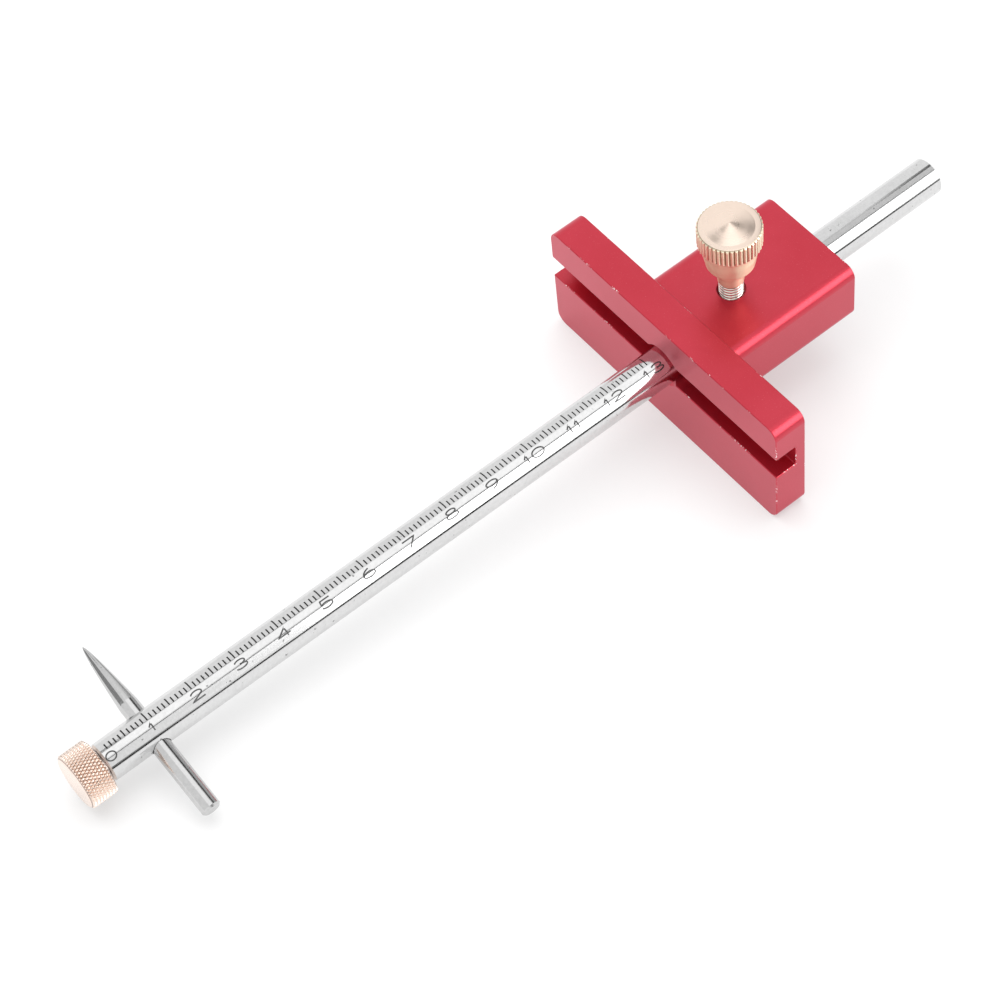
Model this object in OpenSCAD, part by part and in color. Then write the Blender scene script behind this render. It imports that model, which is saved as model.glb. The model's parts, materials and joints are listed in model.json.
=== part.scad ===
// Marking gauge: a round graduated beam slides through a T-shaped fence.
// A thumb screw on the fence locks the beam, and a second one in the end of
// the beam locks the scriber pin.
// Origin: where the beam's axis crosses the fence's working face.
// +X along the fence, +Y away from the scriber, +Z towards the lock screw.

/* [Fence] */
// Length of the fence plate, along X
plate_w = 67; // [55:0.5:90]
// Thickness of the fence plate, along Y
plate_t = 7.4; // [6.5:0.1:12]
// Height of the plate above the beam's axis
plate_up = 11.2; // [9.5:0.1:16]
// Depth of the plate below the beam's axis
plate_down = 17.2; // [9.5:0.1:24]
// Radius of the plate's four corners, seen from the front
plate_corner = 2.5; // [1:0.1:4]
// Width of the groove that the scriber pin nests in
groove_w = 5.7; // [4.6:0.1:7]
// Depth of the groove
groove_depth = 5; // [4.3:0.1:5.5]

/* [Stock block behind the plate] */
// Width of the block, along X
block_w = 26; // [20:0.5:36]
// Length of the block, along Y
block_l = 31.6; // [24:0.2:45]
// Height of the block above the beam's axis
block_up = 8.6; // [7.5:0.1:9.4]
// Depth of the block below the beam's axis
block_down = 6; // [5.5:0.1:9]
// Radius of the block's long edges
block_corner = 2.5; // [1:0.1:3]

/* [Beam] */
// Diameter of the beam
beam_d = 8; // [7:0.1:9]
// Length of the beam
beam_l = 205.8; // [180:0.1:260]
// Length of beam in front of the fence
beam_reach = 134.7; // [60:0.1:135]
// Distance of the scriber pin's axis from the beam's scriber end
pin_inset = 10.6; // [8.5:0.1:12]

/* [Scriber pin] */
// Diameter of the scriber pin
pin_d = 4; // [3.5:0.1:4]
// Overall length of the scriber pin
pin_l = 40; // [32:0.5:50]
// Length of the ground taper
taper_l = 14.5; // [8:0.5:16]
// Distance of the point from the beam's axis
tip_reach = 20.7; // [18:0.1:30]
// Angle of the pin above the fence's long direction
pin_angle = 13.4; // [0:0.1:45]

/* [Lock screw] */
// Distance of the lock screw's axis behind the working face
lock_y = 18.2; // [14:0.1:24]
// Diameter of the lock knob over its knurl
lock_knob_d = 12.9; // [10:0.1:16]
// Height of the lock knob's rim above the beam's axis
lock_rim_z = 28; // [26:0.1:32]

/* [End screw] */
// Diameter of the end knob over its knurl
end_knob_d = 11.5; // [9.5:0.1:14]
// Length of the end knob's knurled head
end_head_l = 5.85; // [5:0.05:9]

/* [Threads and fits] */
// Nominal diameter of both screws
screw_d = 5; // [4:1:5]
// Radial clearance of the sliding and turning fits
fit_gap = 0.06; // [0.03:0.01:0.08]
// Gap left between pieces that only press on each other when tightened
seat_gap = 0.08; // [0.05:0.01:0.15]

/* [Hidden] */
$fn = 96;

beam_r = beam_d / 2;
pin_r = pin_d / 2;
screw_r = screw_d / 2;
beam_end_y = -beam_reach;
beam_rear_y = beam_end_y + beam_l;
block_rear_y = plate_t + block_l;
bore_r = beam_r + fit_gap;
tapped_r = screw_r + fit_gap;
pin_y = beam_end_y + pin_inset;
overlap = 1;

// Small chamfers
edge = 0.4;
mouth = 0.9;

// Both screws bear through a loose pad, a little slimmer than the thread
pad_r = screw_r - 0.02;
pad_t = 1.2;

// Interference of each stud in its knob
press = 0.02;

// The end screw, measured along the beam from its scriber end
boss_r = 3.75;
boss_gap = 0.25;
boss_l = 0.2;
end_socket = 4;
end_head_y = beam_end_y - boss_gap - boss_l;
pin_pad_y = pin_y - pin_r - seat_gap;

// The lock screw, measured upwards from the beam's axis
lock_pad_z = beam_r + seat_gap;
lock_neck_z = 11.9;
lock_waist_z = 17.5;
lock_knurl_l = 4.6;
lock_socket = 7.1;
neck_r = 2.65;
collar_r = 2.8;
collar_l = 2.6;
waist_r = 4.9;
knurl_step = 0.5;
face_r = 4.9;
dome_h = 1.1;
rim_drop = 0.25;

// Taper profile: the radius grows as this power of the distance from the point,
// and the steps get shorter towards the point
taper_power = 0.6;
taper_steps = 12;
step_power = 2;

// A cylinder between two points on the Y axis
module rod_y(r, y0, y1) {
    translate([0, y1, 0])
        rotate([90, 0, 0])
            cylinder(r = r, h = y1 - y0);
}

// A cone on the Y axis, r0 at y0 and r1 at y1
module cone_y(r0, r1, y0, y1) {
    translate([0, y0, 0])
        rotate([-90, 0, 0])
            cylinder(r1 = r0, r2 = r1, h = y1 - y0);
}

// A rectangle with round corners, from its lower left corner to its upper right
module round_rect(x0, y0, x1, y1, r) {
    union() {
        translate([x0 + r, y0])
            square([x1 - x0 - 2 * r, y1 - y0]);
        translate([x0, y0 + r])
            square([x1 - x0, y1 - y0 - 2 * r]);
        for (x = [x0 + r, x1 - r], y = [y0 + r, y1 - r])
            translate([x, y])
                circle(r = r);
    }
}

// An outline in X and Z, extruded from y0 to y1
module front_extrude(y0, y1) {
    translate([0, y1, 0])
        rotate([90, 0, 0])
            linear_extrude(height = y1 - y0)
                children();
}

// A profile of radius against height, turned about the beam's axis, heights
// running towards the scriber from the beam's end
module turned_outwards() {
    translate([0, beam_end_y, 0])
        rotate([90, 0, 0])
            rotate_extrude()
                children();
}

module fence() {
    color([0.78, 0.13, 0.19])
    difference() {
        union() {
            front_extrude(0, plate_t)
                round_rect(-plate_w / 2, -plate_down, plate_w / 2, plate_up, plate_corner);
            front_extrude(plate_t - overlap, block_rear_y)
                round_rect(-block_w / 2, -block_down, block_w / 2, block_up, block_corner);
        }
        translate([-plate_w / 2 - overlap, -overlap, -groove_w / 2])
            cube([plate_w + 2 * overlap, groove_depth + overlap, groove_w]);
        rod_y(bore_r, -overlap, block_rear_y + overlap);
        cone_y(bore_r + mouth, bore_r, 0, mouth);
        cone_y(bore_r, bore_r + edge, block_rear_y - edge, block_rear_y);
        translate([0, lock_y, 0])
            cylinder(r = tapped_r, h = block_up + overlap);
        translate([0, lock_y, block_up - edge])
            cylinder(r1 = tapped_r, r2 = tapped_r + edge, h = edge);
    }
}

module beam() {
    color([0.80, 0.81, 0.82])
    difference() {
        union() {
            cone_y(beam_r - edge, beam_r, beam_end_y, beam_end_y + edge);
            rod_y(beam_r, beam_end_y + edge, beam_rear_y - edge);
            cone_y(beam_r, beam_r - edge, beam_rear_y - edge, beam_rear_y);
        }
        rod_y(tapped_r, beam_end_y - overlap, pin_y);
        translate([0, pin_y, 0])
            rotate([0, -90 + pin_angle, 0])
                translate([0, 0, -beam_d])
                    cylinder(r = pin_r + fit_gap, h = 2 * beam_d);
    }
}

// How far along the taper each step lies, from 0 at the point to 1
function along(i) = pow(i / taper_steps, step_power);

// The pin's profile, as radius against distance from the blunt end
function pin_profile() = concat(
    [[0, 0], [pin_r - edge, 0], [pin_r, edge]],
    [for (i = [taper_steps : -1 : 1])
        [pin_r * pow(along(i), taper_power), pin_l - taper_l * along(i)]],
    [[0, pin_l]]);

module scriber_pin() {
    color([0.55, 0.56, 0.58])
    translate([0, pin_y, 0])
        rotate([0, -90 + pin_angle, 0])
            translate([0, 0, tip_reach - pin_l])
                rotate_extrude()
                    polygon(pin_profile());
}

module pin_pad() {
    color([0.80, 0.62, 0.38])
    rod_y(pad_r, pin_pad_y - pad_t, pin_pad_y);
}

module end_stud() {
    tip_y = pin_pad_y - pad_t - seat_gap;
    color([0.66, 0.67, 0.68])
    union() {
        rod_y(screw_r, end_head_y - end_socket, tip_y - edge);
        cone_y(screw_r, screw_r - edge, tip_y - edge, tip_y);
    }
}

module end_knob() {
    head = end_knob_d / 2;
    base = boss_gap + boss_l;
    tip = base + end_head_l;
    color([0.86, 0.64, 0.48])
    turned_outwards()
        polygon([
            [screw_r - press, boss_gap],
            [boss_r, boss_gap],
            [boss_r, base],
            [head - edge, base],
            [head, base + edge],
            [head, tip - edge],
            [head - edge, tip],
            [0, tip],
            [0, base + end_socket],
            [screw_r - press, base + end_socket]]);
}

module lock_pad() {
    color([0.80, 0.62, 0.38])
    translate([0, lock_y, lock_pad_z])
        cylinder(r = pad_r, h = pad_t);
}

module lock_stud() {
    tip_z = lock_pad_z + pad_t + seat_gap;
    color([0.72, 0.73, 0.74])
    translate([0, lock_y, 0])
        union() {
            translate([0, 0, tip_z])
                cylinder(r1 = screw_r - edge, r2 = screw_r, h = edge);
            translate([0, 0, tip_z + edge])
                cylinder(r = screw_r, h = lock_neck_z + lock_socket - tip_z - edge);
        }
}

module lock_knob() {
    head = lock_knob_d / 2;
    knurl_z = lock_rim_z - rim_drop - lock_knurl_l;
    color([0.88, 0.70, 0.52])
    translate([0, lock_y, 0])
        rotate_extrude()
            polygon([
                [screw_r - press, lock_neck_z],
                [neck_r, lock_neck_z],
                [collar_r, lock_neck_z + collar_l],
                [waist_r, lock_waist_z],
                [head - knurl_step, knurl_z],
                [head, knurl_z + knurl_step],
                [head, lock_rim_z - rim_drop],
                [head - rim_drop, lock_rim_z],
                [face_r, lock_rim_z],
                [0, lock_rim_z + dome_h],
                [0, lock_neck_z + lock_socket],
                [screw_r - press, lock_neck_z + lock_socket]]);
}

fence();
beam();
scriber_pin();
pin_pad();
end_stud();
end_knob();
lock_pad();
lock_stud();
lock_knob();
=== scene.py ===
import json
import math

import bpy
from mathutils import Matrix, Vector


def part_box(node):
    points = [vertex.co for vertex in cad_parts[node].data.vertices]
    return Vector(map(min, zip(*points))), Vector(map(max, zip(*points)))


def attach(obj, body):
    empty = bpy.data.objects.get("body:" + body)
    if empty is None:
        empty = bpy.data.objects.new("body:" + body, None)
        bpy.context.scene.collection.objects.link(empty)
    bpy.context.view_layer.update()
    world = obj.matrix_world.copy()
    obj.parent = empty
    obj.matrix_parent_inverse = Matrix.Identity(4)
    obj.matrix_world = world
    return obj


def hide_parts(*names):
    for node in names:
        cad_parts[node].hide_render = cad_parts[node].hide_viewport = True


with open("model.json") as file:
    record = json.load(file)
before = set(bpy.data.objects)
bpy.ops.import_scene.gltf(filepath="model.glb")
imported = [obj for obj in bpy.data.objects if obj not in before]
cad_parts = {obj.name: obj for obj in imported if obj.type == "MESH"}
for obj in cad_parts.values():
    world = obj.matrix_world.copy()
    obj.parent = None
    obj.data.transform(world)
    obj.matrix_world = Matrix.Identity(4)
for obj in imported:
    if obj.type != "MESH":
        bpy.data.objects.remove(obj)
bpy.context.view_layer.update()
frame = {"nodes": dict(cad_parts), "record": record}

MM = 0.001
TURN = 2 * math.pi


def box_mm(node):
    low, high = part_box(node)
    return low / MM, high / MM


# ---------------------------------------------------------------- sizes, mm
fence_low, fence_high = box_mm("fence")
beam_low, beam_high = box_mm("beam")
pin_low, pin_high = box_mm("scriber_pin")
end_knob_low, end_knob_high = box_mm("end_knob")
end_stud_low, end_stud_high = box_mm("end_stud")
lock_knob_low, lock_knob_high = box_mm("lock_knob")
lock_stud_low, lock_stud_high = box_mm("lock_stud")

# Fence: its plate with the groove, and the block behind it, measured from the beam's axis
PLATE_THICK = 7.4
PLATE_CORNER = 2.5
GROOVE_WIDE = 5.7
GROOVE_DEEP = 5.0
BLOCK_WIDE = 26.0
BLOCK_UP = 8.6
BLOCK_DOWN = 6.0
BLOCK_CORNER = 2.5

# Clearance round what slides or turns, the flare of the fence's bore, broken edges,
# turned chamfers, and how far a cutting body runs past the face that it cuts
FIT_GAP = 0.06
MOUTH = 0.9
SMALL_EDGE = 0.22
CHAMFER = 0.4
PAST = 1

BEAM_R = beam_high.x
STUD_R = lock_stud_high.x
LOCK_Y = (lock_stud_low.y + lock_stud_high.y) / 2

# Scriber pin: its tilt up from -X, its length, its ground point and how far that reaches
PIN_R = (pin_high.y - pin_low.y) / 2
PIN_Y = (pin_high.y + pin_low.y) / 2
PIN_ANGLE = math.radians(13.4)
PIN_LONG = 40.0
PIN_TAPER = 14.5
PIN_TIP = 20.7

# Scale: its base line is at this angle about the beam, from +X towards +Z, and its
# zero is this far from the beam's scriber end
SCALE_BASE = math.radians(84.7)
SCALE_LEAD = 0.8
TICK_SHORT = 1.30
TICK_MIDDLE = 1.83
TICK_LONG = 2.45
TICK_WIDE = 0.24
LAST_TICK = 130
BASE_LINE_END = 52
BASE_LINE_WIDE = 0.05
DIGIT_HIGH = 1.67
DIGIT_WIDE = 2.75
DIGIT_STROKE = 0.29
DIGIT_DROP = 0.68
DIGIT_GAP = 0.35
# How far a numeral's middle is past its tick, and how much further with two digits
DIGIT_SHIFT = 0.15
SECOND_DIGIT_SHIFT = 0.25

# Screws and their knobs: a straight knurl on the lock knob, a diamond one on the end knob
THREAD_PITCH = 0.8
THREAD_DEEP = 0.38
PRESS_FIT = 0.02
LOCK_TEETH = 44
LOCK_TEETH_DEEP = 0.36
LOCK_TEETH_LONG = 4.6
LOCK_DOME = 1.1
END_TEETH = 54
END_TEETH_DEEP = 0.36
END_TEETH_SLANT = math.radians(27)


# ------------------------------------------------------------ mesh helpers
def make_object(name, verts, faces, materials=()):
    """A mesh object from points in millimetres."""
    mesh = bpy.data.meshes.new(name)
    mesh.from_pydata([Vector(v) * MM for v in verts], [], faces)
    for material in materials:
        mesh.materials.append(material)
    mesh.update()
    obj = bpy.data.objects.new(name, mesh)
    bpy.context.scene.collection.objects.link(obj)
    return obj


def apply_modifiers(obj):
    depsgraph = bpy.context.evaluated_depsgraph_get()
    mesh = bpy.data.meshes.new_from_object(obj.evaluated_get(depsgraph))
    obj.modifiers.clear()
    obj.data = mesh


def combine(obj, other, operation):
    """Joins obj with other, or cuts other out of it, and removes other."""
    modifier = obj.modifiers.new("combine", "BOOLEAN")
    modifier.operation = operation
    modifier.solver = "EXACT"
    modifier.object = other
    apply_modifiers(obj)
    bpy.data.objects.remove(other)


def bevel_edges(obj, width, segments=3, angle=40, material=-1):
    modifier = obj.modifiers.new("edges", "BEVEL")
    modifier.width = width * MM
    modifier.segments = segments
    modifier.limit_method = "ANGLE"
    modifier.angle_limit = math.radians(angle)
    modifier.material = material
    modifier.use_clamp_overlap = True
    apply_modifiers(obj)


def smooth(obj, angle=35, weighted=False):
    obj.data.shade_smooth()
    obj.data.set_sharp_from_angle(angle=math.radians(angle))
    if weighted:
        modifier = obj.modifiers.new("normals", "WEIGHTED_NORMAL")
        modifier.keep_sharp = True
        modifier.weight = 50
        apply_modifiers(obj)


def rounded_outline(x0, z0, x1, z1, r, steps=12):
    """The corner arcs of a rectangle, anticlockwise seen from -Y."""
    centres = [
        (x1 - r, z1 - r, 0),
        (x0 + r, z1 - r, 90),
        (x0 + r, z0 + r, 180),
        (x1 - r, z0 + r, 270),
    ]
    points = []
    for cx, cz, start in centres:
        for i in range(steps + 1):
            a = math.radians(start + 90 * i / steps)
            points.append((cx + r * math.cos(a), cz + r * math.sin(a)))
    return points


def prism(name, outline, y0, y1, materials=()):
    """An outline in X and Z, extruded along Y."""
    n = len(outline)
    verts = [(x, y, z) for y in (y0, y1) for x, z in outline]
    faces = [list(range(n)), list(range(2 * n - 1, n - 1, -1))]
    faces += [[(i + 1) % n, i, i + n, (i + 1) % n + n] for i in range(n)]
    return make_object(name, verts, faces, materials)


def box_solid(name, low, high):
    outline = [(low[0], low[2]), (high[0], low[2]), (high[0], high[2]), (low[0], high[2])]
    return prism(name, outline, low[1], high[1])


# Ways for a lathe's axis: up, towards +Y, towards -Y, and towards the scriber's point
UPWARDS = Matrix.Identity(3)
ALONG_BEAM = Matrix(((1, 0, 0), (0, 0, 1), (0, -1, 0)))
OUTWARDS = Matrix(((1, 0, 0), (0, 0, -1), (0, 1, 0)))
ALONG_PIN = Matrix.Rotation(PIN_ANGLE - math.pi / 2, 3, "Y")


def lathe(name, profile, origin, turn=UPWARDS, segments=128, cut_in=None, materials=()):
    """Turns (radius, height) pairs, from one point on the axis to another, about the
    local Z axis. cut_in(angle, radius, height) gives the radius after knurling."""
    verts, faces, rings = [], [], []
    for radius, height in profile:
        if radius == 0:
            rings.append([len(verts)] * segments)
            verts.append((0, 0, height))
            continue
        rings.append(list(range(len(verts), len(verts) + segments)))
        for i in range(segments):
            a = TURN * i / segments
            r = cut_in(a, radius, height) if cut_in else radius
            verts.append((r * math.cos(a), r * math.sin(a), height))
    for lower, upper in zip(rings, rings[1:]):
        for i in range(segments):
            j = (i + 1) % segments
            corners = [lower[i], lower[j], upper[j], upper[i]]
            faces.append([c for k, c in enumerate(corners) if c not in corners[:k]])
    faces = [f for f in faces if len(f) > 2]
    placed = [turn @ Vector(v) + Vector(origin) for v in verts]
    return make_object(name, placed, faces, materials)


def rows_between(a, b, steps):
    """Profile points from a to b, without a itself."""
    return [tuple(p + (q - p) * i / steps for p, q in zip(a, b)) for i in range(1, steps + 1)]


# --------------------------------------------------------------- materials
# Painted shade in the roots of threads and the gaps of knurls, tinted red-brown as a painted reflection
# of the red fence, and how much of it is laid on
GAP_SHADE = (0.12, 0.05, 0.035)
GAP_SHADE_COVER = 0.70
RED = (0.57, 0.026, 0.052)
RED_DEEP = (0.53, 0.016, 0.038)
STUD_TONE = (0.93, 0.87, 0.79)


class Nodes:
    """Short calls for building a node tree."""

    def __init__(self, name):
        self.material = bpy.data.materials.new(name)
        self.material.use_nodes = True
        self.tree = self.material.node_tree
        self.shader = self.tree.nodes["Principled BSDF"]
        self.place = self.add("ShaderNodeTexCoord").outputs["Object"]

    def add(self, kind, **values):
        node = self.tree.nodes.new(kind)
        for key, value in values.items():
            setattr(node, key, value)
        return node

    def link(self, source, target):
        self.tree.links.new(source, target)

    def noise(self, scale, detail=2.0, roughness=0.5, stretch=None):
        """Noise whose scale is in features per metre."""
        node = self.add("ShaderNodeTexNoise")
        node.inputs["Scale"].default_value = scale
        node.inputs["Detail"].default_value = detail
        node.inputs["Roughness"].default_value = roughness
        where = self.place
        if stretch:
            mapping = self.add("ShaderNodeMapping")
            mapping.inputs["Scale"].default_value = stretch
            self.link(where, mapping.inputs["Vector"])
            where = mapping.outputs["Vector"]
        self.link(where, node.inputs["Vector"])
        return node.outputs["Fac"]

    def ramp(self, value, low, high, to_low=0.0, to_high=1.0):
        node = self.add("ShaderNodeMapRange")
        node.inputs["From Min"].default_value = low
        node.inputs["From Max"].default_value = high
        node.inputs["To Min"].default_value = to_low
        node.inputs["To Max"].default_value = to_high
        self.link(value, node.inputs["Value"])
        return node.outputs["Result"]

    def math(self, operation, a, b):
        node = self.add("ShaderNodeMath", operation=operation)
        for socket, value in zip(node.inputs, (a, b)):
            if isinstance(value, (int, float)):
                socket.default_value = value
            else:
                self.link(value, socket)
        return node.outputs["Value"]

    def mix(self, factor, a, b):
        """A colour mix; a and b are colours or sockets."""
        node = self.add("ShaderNodeMix", data_type="RGBA")
        self.link(factor, node.inputs["Factor"])
        for socket, value in ((node.inputs[6], a), (node.inputs[7], b)):
            if isinstance(value, tuple):
                socket.default_value = (*value, 1)
            else:
                self.link(value, socket)
        return node.outputs[2]

    def bump(self, height, distance_mm, strength=1.0):
        node = self.add("ShaderNodeBump")
        node.inputs["Strength"].default_value = strength
        node.inputs["Distance"].default_value = distance_mm * MM
        self.link(height, node.inputs["Height"])
        self.link(node.outputs["Normal"], self.shader.inputs["Normal"])

    def grime(self, colour, axis, centre_y, teeth):
        """Paints shade into the gaps between teeth cut round an axis, by distance from it: painted
        shade, tinted red-brown as a painted reflection of the red fence.
        """
        root, crest, start, end = teeth
        away = self.add("ShaderNodeVectorMath", operation="MULTIPLY_ADD")
        away.inputs[1].default_value = [0 if k == axis else 1 for k in range(3)]
        away.inputs[2].default_value = (0, -centre_y * MM, 0)
        self.link(self.place, away.inputs[0])
        radius = self.add("ShaderNodeVectorMath", operation="LENGTH")
        self.link(away.outputs["Vector"], radius.inputs[0])
        parts = self.add("ShaderNodeSeparateXYZ")
        self.link(self.place, parts.inputs["Vector"])
        height = parts.outputs[axis]
        shade_in_gap = self.ramp(radius.outputs["Value"], root * MM, crest * MM, 1.0, 0.0)
        shade_in_gap = self.math("MULTIPLY", shade_in_gap, self.ramp(height, start * MM, (start + 0.02) * MM))
        shade_in_gap = self.math("MULTIPLY", shade_in_gap, self.ramp(height, (end - 0.02) * MM, end * MM, 1.0, 0.0))
        return self.mix(self.math("MULTIPLY", shade_in_gap, GAP_SHADE_COVER), colour, GAP_SHADE)

    def set(self, **values):
        for key, value in values.items():
            self.shader.inputs[key.replace("_", " ")].default_value = value


def red_anodised(name, chipped):
    """Satin red anodised aluminium; the edges are chipped to bare metal in places."""
    n = Nodes(name)
    grain = n.noise(9000, detail=3)
    drift = n.noise(60, detail=3)
    colour = n.mix(n.ramp(drift, 0.3, 0.7), RED_DEEP, RED)
    # Painted glints: fine specks of lighter pink mixed into the base colour
    painted_glints = n.ramp(n.noise(5200, detail=1), 0.70, 0.80)
    colour = n.mix(n.math("MULTIPLY", painted_glints, 0.35), colour, (0.9, 0.30, 0.33))
    rough = n.ramp(grain, 0.3, 0.7, 0.30, 0.42)
    if chipped:
        patch = n.ramp(n.noise(260, detail=2), 0.54, 0.60)
        speck = n.ramp(n.noise(2300, detail=3), 0.56, 0.61)
        chip = n.math("MULTIPLY", patch, speck)
        colour = n.mix(chip, colour, (0.98, 0.80, 0.80))
    n.link(colour, n.shader.inputs["Base Color"])
    n.link(rough, n.shader.inputs["Roughness"])
    n.bump(grain, 0.006, 0.35)
    n.set(Metallic=0.80, Coat_Weight=0.7, Coat_Roughness=0.28, Specular_Tint=(0.78, 0.68, 0.78, 1))
    return n.material


def polished_steel(name, tone, rough, pits, along, axis=2, centre_y=0, teeth=None):
    """Ground steel: fine scratches, slow changes of polish, and pits. Above the noise level
    pits the metal is pitted, and along is the stretch of the scratches. Teeth are given by
    their root and crest radius and their two ends along the axis."""
    n = Nodes(name)
    lines = n.noise(2600, detail=2, stretch=along)
    drift = n.noise(90, detail=3)
    colour = n.mix(n.ramp(drift, 0.35, 0.65), tuple(c * 0.95 for c in tone), tone)
    cloud = n.ramp(n.noise(1400, detail=4, roughness=0.7), 0.35, 0.70)
    colour = n.mix(n.math("MULTIPLY", cloud, 0.25), colour, tuple(c * 0.55 for c in tone))
    spots = n.ramp(n.noise(900, detail=2, roughness=0.6), pits, pits + 0.05)
    colour = n.mix(spots, colour, tuple(c * 0.35 for c in tone))
    # Painted shade in the roots of the thread
    if teeth:
        colour = n.grime(colour, axis, centre_y, teeth)
    n.link(colour, n.shader.inputs["Base Color"])
    n.link(n.ramp(lines, 0.3, 0.7, rough * 0.8, rough * 1.25), n.shader.inputs["Roughness"])
    height = n.math("SUBTRACT", n.math("MULTIPLY", lines, 0.3), spots)
    n.bump(height, 0.003, 0.25)
    n.set(Metallic=1.0)
    return n.material


def turned_brass(name, tone, rough, axis, centre_y=0, marks_deep=0.02, teeth=None, brushed=0.0):
    """Brass, or the nearly black tone painted as shade on the end knob's boss, with tool marks round its
    axis, and painted shade between the teeth of a knurl.
    Teeth are given as for polished_steel, and brushed is how far the marks smear a
    highlight."""
    n = Nodes(name)
    flat = [0.04, 0.04, 0.04]
    flat[axis] = 1
    marks = n.noise(2600, detail=3, stretch=flat)
    drift = n.noise(220, detail=3)
    colour = n.mix(n.ramp(drift, 0.3, 0.7), tuple(c * 0.95 for c in tone), tone)
    # Painted shade in the gaps of the knurl
    if teeth:
        colour = n.grime(colour, axis, centre_y, teeth)
    n.link(colour, n.shader.inputs["Base Color"])
    n.link(n.ramp(marks, 0.3, 0.7, rough * 0.85, rough * 1.2), n.shader.inputs["Roughness"])
    n.bump(marks, marks_deep, 0.35)
    n.set(Metallic=1.0)
    if brushed:
        tangent = n.add("ShaderNodeTangent", direction_type="RADIAL", axis="XYZ"[axis])
        n.link(tangent.outputs["Tangent"], n.shader.inputs["Tangent"])
        n.set(Anisotropic=brushed, Anisotropic_Rotation=0.25)
    return n.material


def ink(name, tone, metallic):
    """Dark fill of the engraved scale, a little patchy."""
    n = Nodes(name)
    patchy = n.noise(2500, detail=3)
    dark = tuple(c * 0.7 for c in tone)
    light = tuple(c * 1.5 for c in tone)
    colour = n.mix(n.ramp(patchy, 0.35, 0.75), dark, light)
    n.link(colour, n.shader.inputs["Base Color"])
    n.link(n.ramp(patchy, 0.3, 0.7, 0.25, 0.4), n.shader.inputs["Roughness"])
    n.set(Metallic=metallic)
    return n.material


def floor_white(name):
    n = Nodes(name)
    colour = n.mix(n.ramp(n.noise(12, detail=4), 0.3, 0.7), (0.43, 0.43, 0.43), (0.47, 0.47, 0.47))
    n.link(colour, n.shader.inputs["Base Color"])
    n.set(Roughness=0.9, Specular_IOR_Level=0.0, Emission_Color=(1, 1, 1, 1), Emission_Strength=0.44)
    return n.material


def plain_card(name, tone):
    n = Nodes(name)
    colour = n.mix(n.noise(5), (tone,) * 3, (tone * 0.9,) * 3)
    n.link(colour, n.shader.inputs["Base Color"])
    n.set(Roughness=1.0, Specular_IOR_Level=0.0)
    return n.material


red = red_anodised("red_anodised", chipped=False)
red_edge = red_anodised("red_anodised_edges", chipped=True)
beam_steel = polished_steel("beam_steel", (0.73, 0.73, 0.73), 0.10, 0.70, (1, 0.02, 1))
pin_steel = polished_steel("pin_steel", (0.62, 0.62, 0.62), 0.12, 0.72, (0.03, 1, 1))
taper_steel = polished_steel("taper_steel", (0.62, 0.62, 0.62), 0.11, 0.70, (0.03, 1, 1))

# Where painted shade lies in each thread and knurl: root and crest radius, and two ends
lock_turns = (2.20, 2.46, lock_stud_low.z, lock_stud_high.z)
end_turns = (2.20, 2.46, end_stud_low.y, end_stud_high.y)
lock_teeth = (6.08, 6.30, lock_knob_high.z - 5.9, lock_knob_high.z - 1.12)
end_teeth = (5.39, 5.56, end_knob_low.y + 0.15, end_knob_high.y - 0.25)
lock_thread = polished_steel("lock_thread", STUD_TONE, 0.10, 0.80, (1, 1, 1), 2, LOCK_Y, lock_turns)
end_thread = polished_steel("end_thread", STUD_TONE, 0.10, 0.80, (1, 1, 1), 1, 0, end_turns)
pale_brass = turned_brass("pale_brass", (0.97, 0.80, 0.68), 0.28, 2, LOCK_Y, teeth=lock_teeth)
knurl_brass = turned_brass("knurl_brass", (0.99, 0.88, 0.66), 0.32, 2, LOCK_Y, teeth=lock_teeth)
waist_brass = turned_brass(
    "waist_brass", (0.90, 0.68, 0.50), 0.42, 2, LOCK_Y, marks_deep=0.05, brushed=0.9
)
rose_brass = turned_brass("rose_brass", (0.97, 0.82, 0.73), 0.26, 1, teeth=end_teeth)
# Nearly black red-brown for the end knob's boss: painted shade in the narrow gap between the knob and
# the beam's end
boss_painted_shade = turned_brass("boss_painted_shade", (0.18, 0.045, 0.035), 0.25, 1)
pad_brass = turned_brass("pad_brass", (0.80, 0.60, 0.34), 0.35, 2)
ink_black = ink("scale_black", (0.004, 0.004, 0.004), 0.0)
ink_grey = ink("scale_grey", (0.10, 0.10, 0.10), 1.0)


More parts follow.
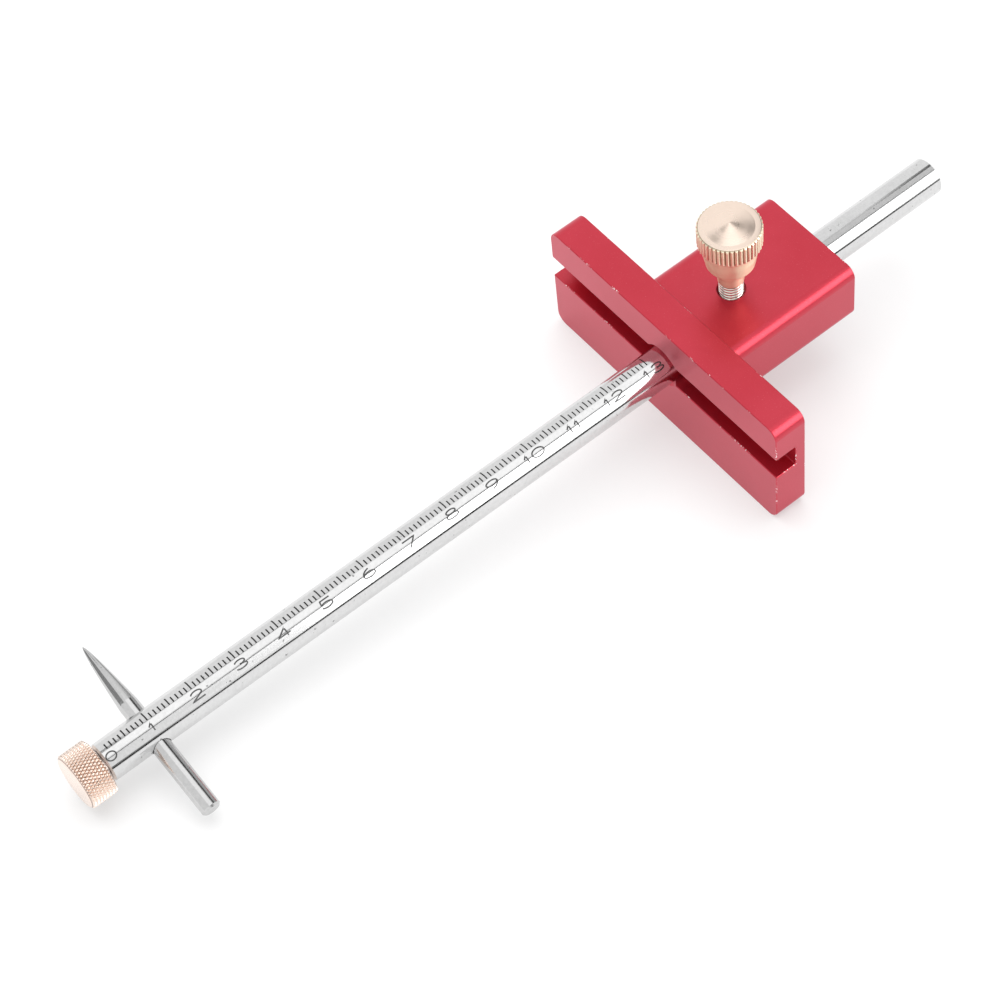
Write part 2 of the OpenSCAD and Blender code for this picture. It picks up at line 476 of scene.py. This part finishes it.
# ------------------------------------------------------------------- fence
def build_fence():
    plate = prism(
        "fence_body",
        rounded_outline(fence_low.x, fence_low.z, fence_high.x, fence_high.z, PLATE_CORNER),
        fence_low.y,
        PLATE_THICK,
        (red, red_edge),
    )
    groove = box_solid(
        "groove",
        (fence_low.x - PAST, fence_low.y - PAST, -GROOVE_WIDE / 2),
        (fence_high.x + PAST, fence_low.y + GROOVE_DEEP, GROOVE_WIDE / 2),
    )
    combine(plate, groove, "DIFFERENCE")
    bevel_edges(plate, SMALL_EDGE, material=1)
    block = prism(
        "block",
        rounded_outline(-BLOCK_WIDE / 2, -BLOCK_DOWN, BLOCK_WIDE / 2, BLOCK_UP, BLOCK_CORNER),
        PLATE_THICK - PAST,
        fence_high.y,
        (red, red_edge),
    )
    bevel_edges(block, SMALL_EDGE, material=1)
    combine(plate, block, "UNION")
    bore_r = BEAM_R + FIT_GAP
    back = fence_high.y
    bore = lathe(
        "bore",
        [
            (0, -PAST),
            (bore_r + MOUTH + PAST, -PAST),
            (bore_r, MOUTH),
            (bore_r, back - CHAMFER),
            (bore_r + CHAMFER + PAST, back + PAST),
            (0, back + PAST),
        ],
        (0, 0, 0),
        ALONG_BEAM,
        160,
    )
    combine(plate, bore, "DIFFERENCE")
    hole_r = STUD_R + FIT_GAP
    hole = lathe(
        "lock_hole",
        [
            (0, 0),
            (hole_r, 0),
            (hole_r, BLOCK_UP - CHAMFER),
            (hole_r + CHAMFER + PAST, BLOCK_UP + PAST),
            (0, BLOCK_UP + PAST),
        ],
        (0, LOCK_Y, 0),
        UPWARDS,
        96,
    )
    combine(plate, hole, "DIFFERENCE")
    smooth(plate, weighted=True)
    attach(plate, "fence")
    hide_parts("fence")


# -------------------------------------------------------------------- beam
def build_beam():
    length = beam_high.y - beam_low.y
    bar = lathe(
        "beam_bar",
        [
            (0, 0),
            (BEAM_R - CHAMFER, 0),
            (BEAM_R, CHAMFER),
            (BEAM_R, length - CHAMFER),
            (BEAM_R - CHAMFER, length),
            (0, length),
        ],
        (0, beam_low.y, 0),
        ALONG_BEAM,
        192,
        materials=(beam_steel,),
    )
    hole_r = PIN_R + FIT_GAP * 2
    reach = 2 * BEAM_R
    hole_profile = [(0, -reach), (hole_r, -reach), (hole_r, reach), (0, reach)]
    cross_hole = lathe("cross_hole", hole_profile, (0, PIN_Y, 0), ALONG_PIN, 96)
    combine(bar, cross_hole, "DIFFERENCE")
    socket_r = STUD_R + FIT_GAP
    socket_deep = PIN_Y - beam_low.y
    socket_profile = [(0, -PAST), (socket_r, -PAST), (socket_r, socket_deep), (0, socket_deep)]
    socket = lathe("socket", socket_profile, (0, beam_low.y, 0), ALONG_BEAM, 96)
    combine(bar, socket, "DIFFERENCE")
    smooth(bar, weighted=True)
    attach(bar, "beam")
    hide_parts("beam")


# ------------------------------------------------------------------- scale
def arc(cx, cy, rx, ry, start, end, steps=14):
    """Points on an ellipse, angles in degrees from +x towards +y."""
    angles = [math.radians(start + (end - start) * i / steps) for i in range(steps + 1)]
    return [(cx + rx * math.cos(a), cy + ry * math.sin(a)) for a in angles]


# Each numeral is a list of strokes in a box one wide and one high
NUMERALS = {
    "0": [arc(0.5, 0.5, 0.5, 0.5, 90, 450, 32)],
    "1": [[(0.0, 0.62), (0.45, 1.0), (0.45, 0.0)]],
    "2": [arc(0.5, 0.70, 0.42, 0.30, 170, -35) + [(0.0, 0.0), (1.0, 0.0)]],
    "3": [arc(0.5, 0.74, 0.40, 0.26, 160, -90) + arc(0.5, 0.25, 0.46, 0.25, 90, -160)],
    "4": [[(1.0, 0.28), (0.0, 0.28), (0.72, 1.0), (0.72, 0.0)]],
    "5": [[(0.92, 1.0), (0.15, 1.0), (0.08, 0.52)] + arc(0.48, 0.31, 0.46, 0.31, 130, -155)],
    "6": [arc(0.52, 0.30, 0.46, 0.30, 0, 360, 24), arc(0.85, 0.32, 0.80, 0.68, 180, 105)],
    "7": [[(0.0, 1.0), (1.0, 1.0), (0.35, 0.0)]],
    "8": [arc(0.5, 0.75, 0.38, 0.25, -90, 270, 24), arc(0.5, 0.26, 0.48, 0.26, 90, 450, 24)],
    "9": [arc(0.48, 0.70, 0.46, 0.30, 0, 360, 24), arc(0.15, 0.68, 0.80, 0.68, 0, -75)],
}
NUMERAL_WIDE = {"1": 1.5}
ZERO_SQUEEZE = 0.75


class Inlay:
    """Thin strips laid on the beam, all in one mesh. A place on the beam is
    (distance from the scale's zero, arc length up from the scale's base line)."""

    LIFT = 0.006
    SINK = 0.05
    STEP = 0.3

    def __init__(self):
        self.verts, self.faces = [], []

    def point(self, along, up, radius):
        angle = SCALE_BASE + up / BEAM_R
        return (radius * math.cos(angle), beam_low.y + SCALE_LEAD + along, radius * math.sin(angle))

    def stroke(self, points, width):
        """A strip of that width along the points, closed if they end where they start."""
        dense = [points[0]]
        for a, b in zip(points, points[1:]):
            steps = max(1, math.ceil(math.dist(a, b) / self.STEP))
            dense += rows_between(a, b, steps)
        loop = math.dist(dense[0], dense[-1]) < 1e-6
        if loop:
            dense.pop()
        crest = BEAM_R + self.LIFT
        root = BEAM_R - self.SINK
        count = len(dense)
        first = len(self.verts)
        for i, here in enumerate(dense):
            before = dense[i - 1] if i or loop else here
            after = dense[(i + 1) % count] if i < count - 1 or loop else here
            into = Vector(here) - Vector(before)
            out = Vector(after) - Vector(here)
            into = into.normalized() if into.length > 1e-9 else out.normalized()
            out = out.normalized() if out.length > 1e-9 else into
            along = (into + out).normalized()
            side = Vector((-along.y, along.x))
            reach = width / 2 / max(0.5, along.dot(out))
            for sign, radius in ((1, crest), (-1, crest), (-1, root), (1, root)):
                spot = Vector(here) + side * reach * sign
                self.verts.append(self.point(spot.x, spot.y, radius))
        last = count if loop else count - 1
        for i in range(last):
            row = first + 4 * i
            next_row = first + 4 * ((i + 1) % count)
            for k in range(4):
                m = (k + 1) % 4
                self.faces.append([row + k, row + m, next_row + m, next_row + k])
        if not loop:
            end = first + 4 * (count - 1)
            self.faces.append([first + 3, first + 2, first + 1, first])
            self.faces.append([end, end + 1, end + 2, end + 3])

    def finish(self, name, material):
        obj = make_object(name, self.verts, self.faces, (material,))
        smooth(obj)
        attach(obj, "beam")


def build_scale():
    """Ticks that are cut a little heavier towards zero, a base line, and the numerals."""
    ticks = Inlay()
    for mm in range(1, LAST_TICK + 1):
        high = TICK_LONG if mm % 10 == 0 else TICK_MIDDLE if mm % 5 == 0 else TICK_SHORT
        heavier = 1.25 - 0.25 * mm / LAST_TICK
        ticks.stroke([(mm, 0), (mm, high)], TICK_WIDE * heavier)
    ticks.stroke([(1, 0), (BASE_LINE_END, 0)], BASE_LINE_WIDE)
    ticks.finish("scale_ticks", ink_black)
    numerals = Inlay()
    for cm in range(LAST_TICK // 10 + 1):
        text = str(cm)
        widths = [NUMERAL_WIDE.get(c, DIGIT_WIDE) for c in text]
        squeeze = ZERO_SQUEEZE if cm == 0 else 1
        total = (sum(widths) + DIGIT_GAP * (len(text) - 1)) * squeeze
        middle = 10 * cm + DIGIT_SHIFT + SECOND_DIGIT_SHIFT * (len(text) - 1)
        start = max(middle - total / 2, CHAMFER + 0.1 - SCALE_LEAD)
        for c, wide in zip(text, widths):
            for line in NUMERALS[c]:
                placed = []
                for x, y in line:
                    placed.append((start + x * wide * squeeze, -DIGIT_DROP - (1 - y) * DIGIT_HIGH))
                numerals.stroke(placed, DIGIT_STROKE)
            start += wide + DIGIT_GAP
    numerals.finish("scale_numerals", ink_grey)


# ------------------------------------------------------------- scriber pin
def build_pin():
    """Heights run along the pin from the middle of the beam; its rows close up at the tip."""
    blunt = PIN_TIP - PIN_LONG
    steps = 40
    profile = [(0, blunt), (PIN_R - CHAMFER, blunt), (PIN_R, blunt + CHAMFER)]
    for i in range(steps, 0, -1):
        t = (i / steps) ** 2
        profile.append((PIN_R * t**0.6, PIN_TIP - PIN_TAPER * t))
    profile.append((0, PIN_TIP))

    def ground(angle, radius, height):
        """Three shallow flats, deepest halfway along the taper."""
        share = max(0.0, (height - PIN_TIP + PIN_TAPER) / PIN_TAPER)
        deep = 0.05 * math.sin(math.pi * min(1, share))
        return radius * (1 - deep * (0.5 + 0.5 * math.cos(3 * angle + 1.2)))

    metals = (pin_steel, taper_steel)
    pin = lathe("scriber_pin_ground", profile, (0, PIN_Y, 0), ALONG_PIN, 96, ground, metals)
    tip_way = ALONG_PIN @ Vector((0, 0, 1))
    for face in pin.data.polygons:
        if face.center.dot(tip_way) > (PIN_TIP - PIN_TAPER) * MM:
            face.material_index = 1
    smooth(pin, weighted=True)
    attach(pin, "scriber_pin")
    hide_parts("scriber_pin")


# ------------------------------------------------------------------ screws
def thread(radius, depth, pitch, low, high, chamfer):
    """The radius of a screw thread of that pitch, for lathe's cut_in."""

    def cut(angle, _, height):
        phase = (height / pitch - angle / TURN) % 1
        flank = abs(phase - 0.5) * 2
        groove = min(1.0, max(0.0, (flank - 0.30) / 0.5))
        ends = min(high - height, height - low)
        return min(radius - depth * groove, radius - chamfer + max(0.0, ends))

    return cut


def build_stud(name, node, body, axis_point, turn, length, metal):
    rows = math.ceil(length / (THREAD_PITCH / 12))
    heights = [length * i / rows for i in range(rows + 1)]
    profile = [(0, 0)] + [(STUD_R, h) for h in heights] + [(0, length)]
    cut = thread(STUD_R, THREAD_DEEP, THREAD_PITCH, 0, length, CHAMFER)
    stud = lathe(name, profile, axis_point, turn, 72, cut, (metal,))
    smooth(stud, 50)
    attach(stud, body)
    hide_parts(node)


def straight_knurl(count, radius, depth, low, high):
    """Straight teeth between two heights, for lathe's cut_in."""

    def cut(angle, r, height):
        if not low <= height <= high:
            return r
        across = abs((angle / TURN * count) % 1 - 0.5) * 2
        groove = min(1.0, max(0.0, (across - 0.32) / 0.60))
        return min(r, radius - depth * groove)

    return cut


def diamond_knurl(count, radius, depth, low, high, slant):
    """Two sets of slanting grooves that cross, for lathe's cut_in."""
    lean = math.tan(slant) / (TURN * radius)

    def cut(angle, r, height):
        if not low <= height <= high:
            return r
        deepest = 0.0
        for sign, teeth in ((1, count), (-1, count - 2)):
            across = abs((teeth * (angle / TURN + sign * height * lean)) % 1 - 0.5) * 2
            deepest = max(deepest, min(1.0, max(0.0, (across - 0.58) / 0.4)))
        return min(r, radius - depth * deepest)

    return cut


def build_lock_knob():
    """Turned from the stud's hole down its neck, up the waist, over the toothed head and
    up the low cone on its top."""
    neck = lock_knob_low.z
    waist = neck + 1.1
    rim = lock_knob_high.z - LOCK_DOME
    head = lock_knob_high.x
    teeth_low = rim - 0.25 - LOCK_TEETH_LONG
    cone = 4.9
    hole = STUD_R - PRESS_FIT
    profile = [(0, waist + 6), (hole, waist + 6), (hole, neck + 0.2)]
    profile += [(2.5, neck), (2.56, neck), (2.65, neck + 0.12), (2.68, waist + 0.3), (2.75, waist + 1.2)]
    profile += rows_between(profile[-1], (3.1, waist + 2.0), 3)
    profile += rows_between(profile[-1], (4.7, waist + 4.2), 3)
    profile += [(4.88, waist + 4.5), (4.95, waist + 4.9)]
    profile += rows_between(profile[-1], (5.75, teeth_low - 0.35), 5)
    profile += [(5.85, teeth_low - 0.2), (5.85, teeth_low)]
    profile += rows_between(profile[-1], (head, teeth_low + 0.5), 8)
    profile += rows_between(profile[-1], (head, rim - 0.3), 6)
    profile += rows_between(profile[-1], (head - 0.42, rim - 0.02), 8)
    profile += [(head - 0.5, rim), (cone + 0.1, rim), (cone, rim + 0.01), (cone - 0.1, rim + 0.04)]
    profile += rows_between(profile[-1], (0.12, rim + LOCK_DOME - 0.03), 24)
    profile += [(0, rim + LOCK_DOME - 0.02)]
    knurl = straight_knurl(LOCK_TEETH, head, LOCK_TEETH_DEEP, teeth_low, rim - 0.005)
    metals = (pale_brass, knurl_brass, waist_brass)
    knob = lathe("lock_knob_turned", profile, (0, LOCK_Y, 0), UPWARDS, LOCK_TEETH * 10, knurl, metals)
    for face in knob.data.polygons:
        if face.center.z < (teeth_low - 0.02) * MM:
            face.material_index = 2
        elif face.center.z < (rim - 0.02) * MM:
            face.material_index = 1
    smooth(knob, 30, weighted=True)
    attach(knob, "lock_screw")
    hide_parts("lock_knob")


def build_end_knob():
    """Heights run out along the beam's axis, from the knob's inner face to its outer one."""
    long = end_knob_high.y - end_knob_low.y
    head = end_knob_high.x
    boss_r = 3.75
    boss = 0.20
    edge = 0.32
    hole = STUD_R - PRESS_FIT
    profile = [(0, boss + 4), (hole, boss + 4), (hole, 0), (boss_r - 0.15, 0), (boss_r, 0.15)]
    profile += [(boss_r, boss), (head - 0.55, boss)]
    profile += rows_between(profile[-1], (head, boss + edge), 8)
    profile += rows_between(profile[-1], (head, long - 0.45), 76)
    profile += rows_between(profile[-1], (head - 0.5, long - 0.12), 8)
    profile += [(head - 0.62, long - 0.02), (head - 0.75, long), (0.02, long - 0.02), (0, long - 0.02)]
    knurl = diamond_knurl(END_TEETH, head, END_TEETH_DEEP, boss + 0.01, long - 0.1, END_TEETH_SLANT)
    metals = (rose_brass, boss_painted_shade)
    inner = (0, end_knob_high.y, 0)
    knob = lathe("end_knob_turned", profile, inner, OUTWARDS, END_TEETH * 8, knurl, metals)
    # The boss gets the nearly black material: painted shade in the gap between the knob and the beam
    for face in knob.data.polygons:
        if face.center.y > (end_knob_high.y - boss + 0.01) * MM:
            face.material_index = 1
    smooth(knob, 30, weighted=True)
    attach(knob, "end_screw")
    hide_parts("end_knob")


# ---------------------------------------------------------------- the stage
beam_slide = next(j for j in frame["record"]["behaviour"]["joints"] if j["name"] == "beam_slide")
beam_pulled_out = min(beam_slide["range_m"]) / MM
end_knob_edge = 0.6
floor_front = Vector((0, fence_low.y, fence_low.z))
floor_end = Vector((0, end_knob_low.y + end_knob_edge + beam_pulled_out, end_knob_low.z))


def build_floor():
    """The gauge leans on the plate's lower front edge and, with the beam pulled right
    out, on the end knob; the floor is low enough for that at every pose."""
    slope = (floor_end - floor_front).normalized()
    size = 6000
    corners = []
    for sx, sy in ((-1, 1), (-1, -1), (1, -1), (1, 1)):
        corners.append(floor_front + Vector((sx * size, 0, 0)) + slope * sy * size)
    floor = make_object("floor", corners, [[0, 1, 2, 3]], (floor_white("floor_white"),))


def on_ring(angle, along):
    """A point one metre from the beam's axis, at that angle from +X towards +Z."""
    a = math.radians(angle)
    return Vector((math.cos(a), along, math.sin(a)))


def softbox(name, low, high, start, end, radiance, on_floor=True):
    """A rectangular light one metre off the beam, between two angles and two places along
    it. With on_floor it also lights matt surfaces."""
    corners = [on_ring(low, start), on_ring(low, end), on_ring(high, end), on_ring(high, start)]
    centre = sum(corners, Vector()) / 4
    wide = (corners[1] - corners[0]).length
    tall = (corners[3] - corners[0]).length
    lamp = bpy.data.lights.new(name, "AREA")
    lamp.shape = "RECTANGLE"
    lamp.size = wide
    lamp.size_y = tall
    lamp.energy = radiance * math.pi * wide * tall
    obj = bpy.data.objects.new(name, lamp)
    x_axis = (corners[1] - corners[0]).normalized()
    y_axis = (corners[3] - corners[0]).normalized()
    z_axis = x_axis.cross(y_axis)
    if z_axis.dot(centre - Vector((0, centre.y, 0))) < 0:
        y_axis, z_axis = -y_axis, -z_axis
    rotation = Matrix((x_axis, y_axis, z_axis)).transposed()
    obj.matrix_world = Matrix.Translation(centre) @ rotation.to_4x4()
    obj.visible_camera = False
    obj.visible_diffuse = on_floor
    bpy.context.scene.collection.objects.link(obj)


def card(name, corners, tone):
    """A card that only shows in reflections."""
    obj = make_object(name, [c / MM for c in corners], [[0, 1, 2, 3]], (plain_card(name, tone),))
    obj.visible_camera = False
    obj.visible_diffuse = False
    obj.visible_shadow = False


def ring_card(name, spots, tone):
    """A card just inside the softboxes; a spot is an angle and a place along the beam."""
    inside = 0.95
    card(name, [on_ring(angle, along) * inside for angle, along in spots], tone)


def build_world():
    world = bpy.data.worlds.new("studio")
    world.use_nodes = True
    world.node_tree.nodes["Background"].inputs["Color"].default_value = (1, 1, 1, 1)
    world.node_tree.nodes["Background"].inputs["Strength"].default_value = 1.0
    bpy.context.scene.world = world


def build_beam_lights():
    """Softboxes, and the cards that put the dark lines and grey bands on the beam."""
    softbox("softbox_side", 12, 60, 0.16, 1.3, 2.8, on_floor=False)
    softbox("softbox_side_end", 20, 60, 0.09, 0.16, 0.25)
    softbox("softbox_top", 70, 105, -0.3, 0.44, 0.35)
    ring_card("edge_card", [(60.2, -0.1), (63.4, -0.1), (69.4, 0.62), (66.4, 0.62)], 0.0)
    ring_card("low_card", [(3.2, -0.1), (11.5, -0.1), (4.4, 0.65), (-5.4, 0.65)], 0.0)
    ring_card("low_end_card", [(4, -0.1), (18, -0.1), (16, 0.055), (8, 0.075)], 0.12)
    ring_card("grey_card", [(70, 0.46), (103, 0.46), (103, 0.62), (70, 0.62)], 0.74)
    far = 1.2
    spots = [(-0.75, 0.04), (0.1, 0.04), (0.1, 0.9), (-0.75, 0.9)]
    card("far_card", [Vector((x, far, z)) for x, z in spots], 0.42)


def build_knob_cards():
    """Two cards for the cone on the lock knob. Each is given by its direction from the
    knob, its distance, and half its width and height in metres."""
    knob_top = Vector((0, LOCK_Y, lock_knob_high.z)) * MM
    for name, way, far, wide, tall in (
        ("left_card", (-0.438, 0.030, 0.897), 2.0, 0.22, 0.13),
        ("right_card", (-0.19, 0.59, 0.783), 1.0, 0.12, 0.12),
    ):
        way = Vector(way)
        middle = knob_top + way * far
        side = way.cross(Vector((0, 1, 0))).normalized() * wide
        rise = side.cross(way).normalized() * tall
        signs = ((-1, -1), (1, -1), (1, 1), (-1, 1))
        card(name, [middle + side * i + rise * j for i, j in signs], 0.08)


def build_pin_cards():
    """Two cards for the pin's ground point: one low in front of it, and one above it
    towards the fence."""
    taper_at = Vector((-15, PIN_Y, 0)) * MM
    way = Vector((-0.616, -0.788, 0))
    near = 0.6
    half_wide = 0.185
    tall = 0.9
    side = Vector((-way.y, way.x, 0)) * half_wide
    low = taper_at + way * near
    high = low + Vector((0, 0, tall))
    card("pin_card", [low - side, low + side, high + side, high - side], 0.30)
    axis = Vector((-math.cos(PIN_ANGLE), 0, math.sin(PIN_ANGLE)))
    upright = Vector((math.sin(PIN_ANGLE), 0, math.cos(PIN_ANGLE)))
    far = 3
    corners = []
    for lean, turn in ((0.10, 40), (0.10, 62), (0.42, 62), (0.42, 40)):
        a = math.radians(turn)
        across = upright * math.cos(a) + Vector((0, math.sin(a), 0))
        corners.append(taper_at + (axis * lean + across * math.sqrt(1 - lean**2)) * far)
    card("pin_top_card", corners, 0.12)


def build_floor_light():
    """A square light that shows on matt surfaces only, and gives the floor its shadows."""
    lamp = bpy.data.lights.new("floor_light", "AREA")
    lamp.shape = "SQUARE"
    lamp.size = 2.4
    lamp.energy = 34
    obj = bpy.data.objects.new("floor_light", lamp)
    place = Vector((-0.55, 0.15, 2.0))
    facing = place.to_track_quat("Z", "Y").to_matrix().to_4x4()
    obj.matrix_world = Matrix.Translation(place) @ facing
    obj.visible_camera = False
    obj.visible_glossy = False
    bpy.context.scene.collection.objects.link(obj)


def build_camera():
    """A long lens, looking down at the gauge from in front of it and to its right."""
    azimuth = math.radians(57.50)
    elevation = math.radians(55.65)
    roll = math.radians(-7.82)
    distance = 0.61705
    target = Vector((0, -0.0439, 0))
    aim_right = 0.00246
    aim_up = -0.00214
    back = Vector(
        (
            math.sin(azimuth) * math.cos(elevation),
            -math.cos(azimuth) * math.cos(elevation),
            math.sin(elevation),
        )
    )
    level = Vector((math.cos(azimuth), math.sin(azimuth), 0))
    up = back.cross(level)
    right = level * math.cos(roll) + up * math.sin(roll)
    top = up * math.cos(roll) - level * math.sin(roll)
    lens = bpy.data.cameras.new("camera")
    lens.sensor_width = 36
    lens.lens = 115.9
    lens.clip_start = 0.05
    lens.clip_end = 50
    camera = bpy.data.objects.new("camera", lens)
    place = target + back * distance + right * aim_right + top * aim_up
    camera.matrix_world = Matrix.Translation(place) @ Matrix((right, top, back)).transposed().to_4x4()
    bpy.context.scene.collection.objects.link(camera)
    bpy.context.scene.camera = camera
    bpy.context.scene.view_settings.view_transform = "Standard"


build_fence()
build_beam()
build_scale()
build_pin()
build_stud(
    "lock_stud_threaded",
    "lock_stud",
    "lock_screw",
    (0, LOCK_Y, lock_stud_low.z),
    UPWARDS,
    lock_stud_high.z - lock_stud_low.z,
    lock_thread,
)
build_stud(
    "end_stud_threaded",
    "end_stud",
    "end_screw",
    (0, end_stud_low.y, 0),
    ALONG_BEAM,
    end_stud_high.y - end_stud_low.y,
    end_thread,
)
build_lock_knob()
build_end_knob()
for pad in ("pin_pad", "lock_pad"):
    frame["nodes"][pad].data.materials.clear()
    frame["nodes"][pad].data.materials.append(pad_brass)
build_floor()
build_world()
build_beam_lights()
build_knob_cards()
build_pin_cards()
build_floor_light()
build_camera()
